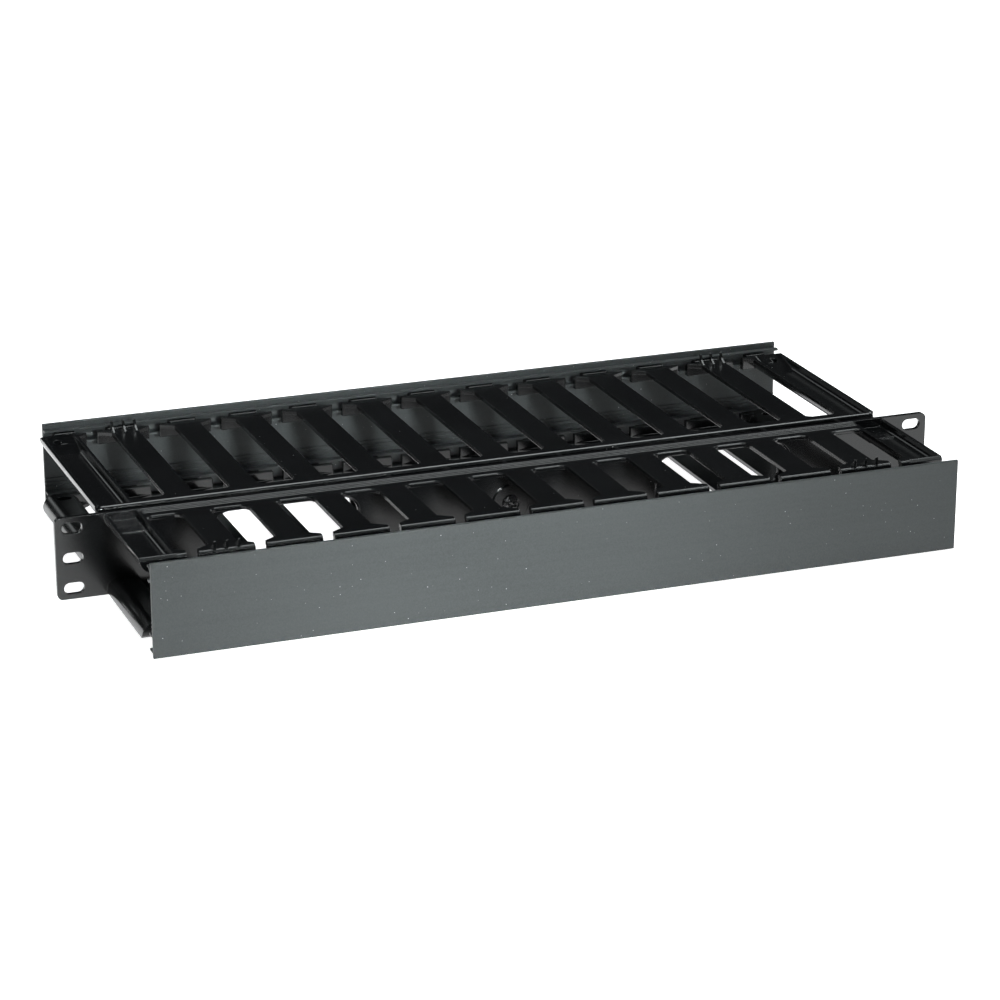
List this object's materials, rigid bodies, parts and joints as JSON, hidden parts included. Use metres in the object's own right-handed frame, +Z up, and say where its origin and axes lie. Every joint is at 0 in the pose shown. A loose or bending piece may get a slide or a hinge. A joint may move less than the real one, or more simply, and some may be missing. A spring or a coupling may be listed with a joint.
{
  "type": "horizontal cable manager",
  "caption": "Double-sided rack cable manager with slotted finger channels at front and rear, hinged clip-on covers and pass-through holes in its web.",
  "frame": {"origin": "centre of the ears' slot pattern, on the back face of the ears that meets the rack rails", "axes": "+X along the width from ear to ear, +Y to the rear of the rack, +Z up"},
  "size_m": [0.4826, 0.2282, 0.052],
  "materials": {
    "front_channel": "glossy black moulding",
    "rear_channel": "glossy black moulding",
    "joining_screw": "black steel",
    "front_cover": "satin dark grey",
    "rear_cover": "satin dark grey"
  },
  "bodies": {
    "frame": {"front_channel": "front_channel", "rear_channel": "rear_channel", "joining_screw": "joining_screw"},
    "front_cover": {"front_cover": "front_cover"},
    "rear_cover": {"rear_cover": "rear_cover"}
  },
  "joints": [
    {"name": "front_cover_hinge", "type": "hinge", "parent": "frame", "child": "front_cover", "pos_m": [0, -0.08235, 0.0176], "axis": [-1, 0, 0], "range_deg": [0, 90]},
    {"name": "rear_cover_hinge", "type": "hinge", "parent": "frame", "child": "rear_cover", "pos_m": [0, 0.13515, 0.0176], "axis": [1, 0, 0], "range_deg": [0, 90]}
  ]
}
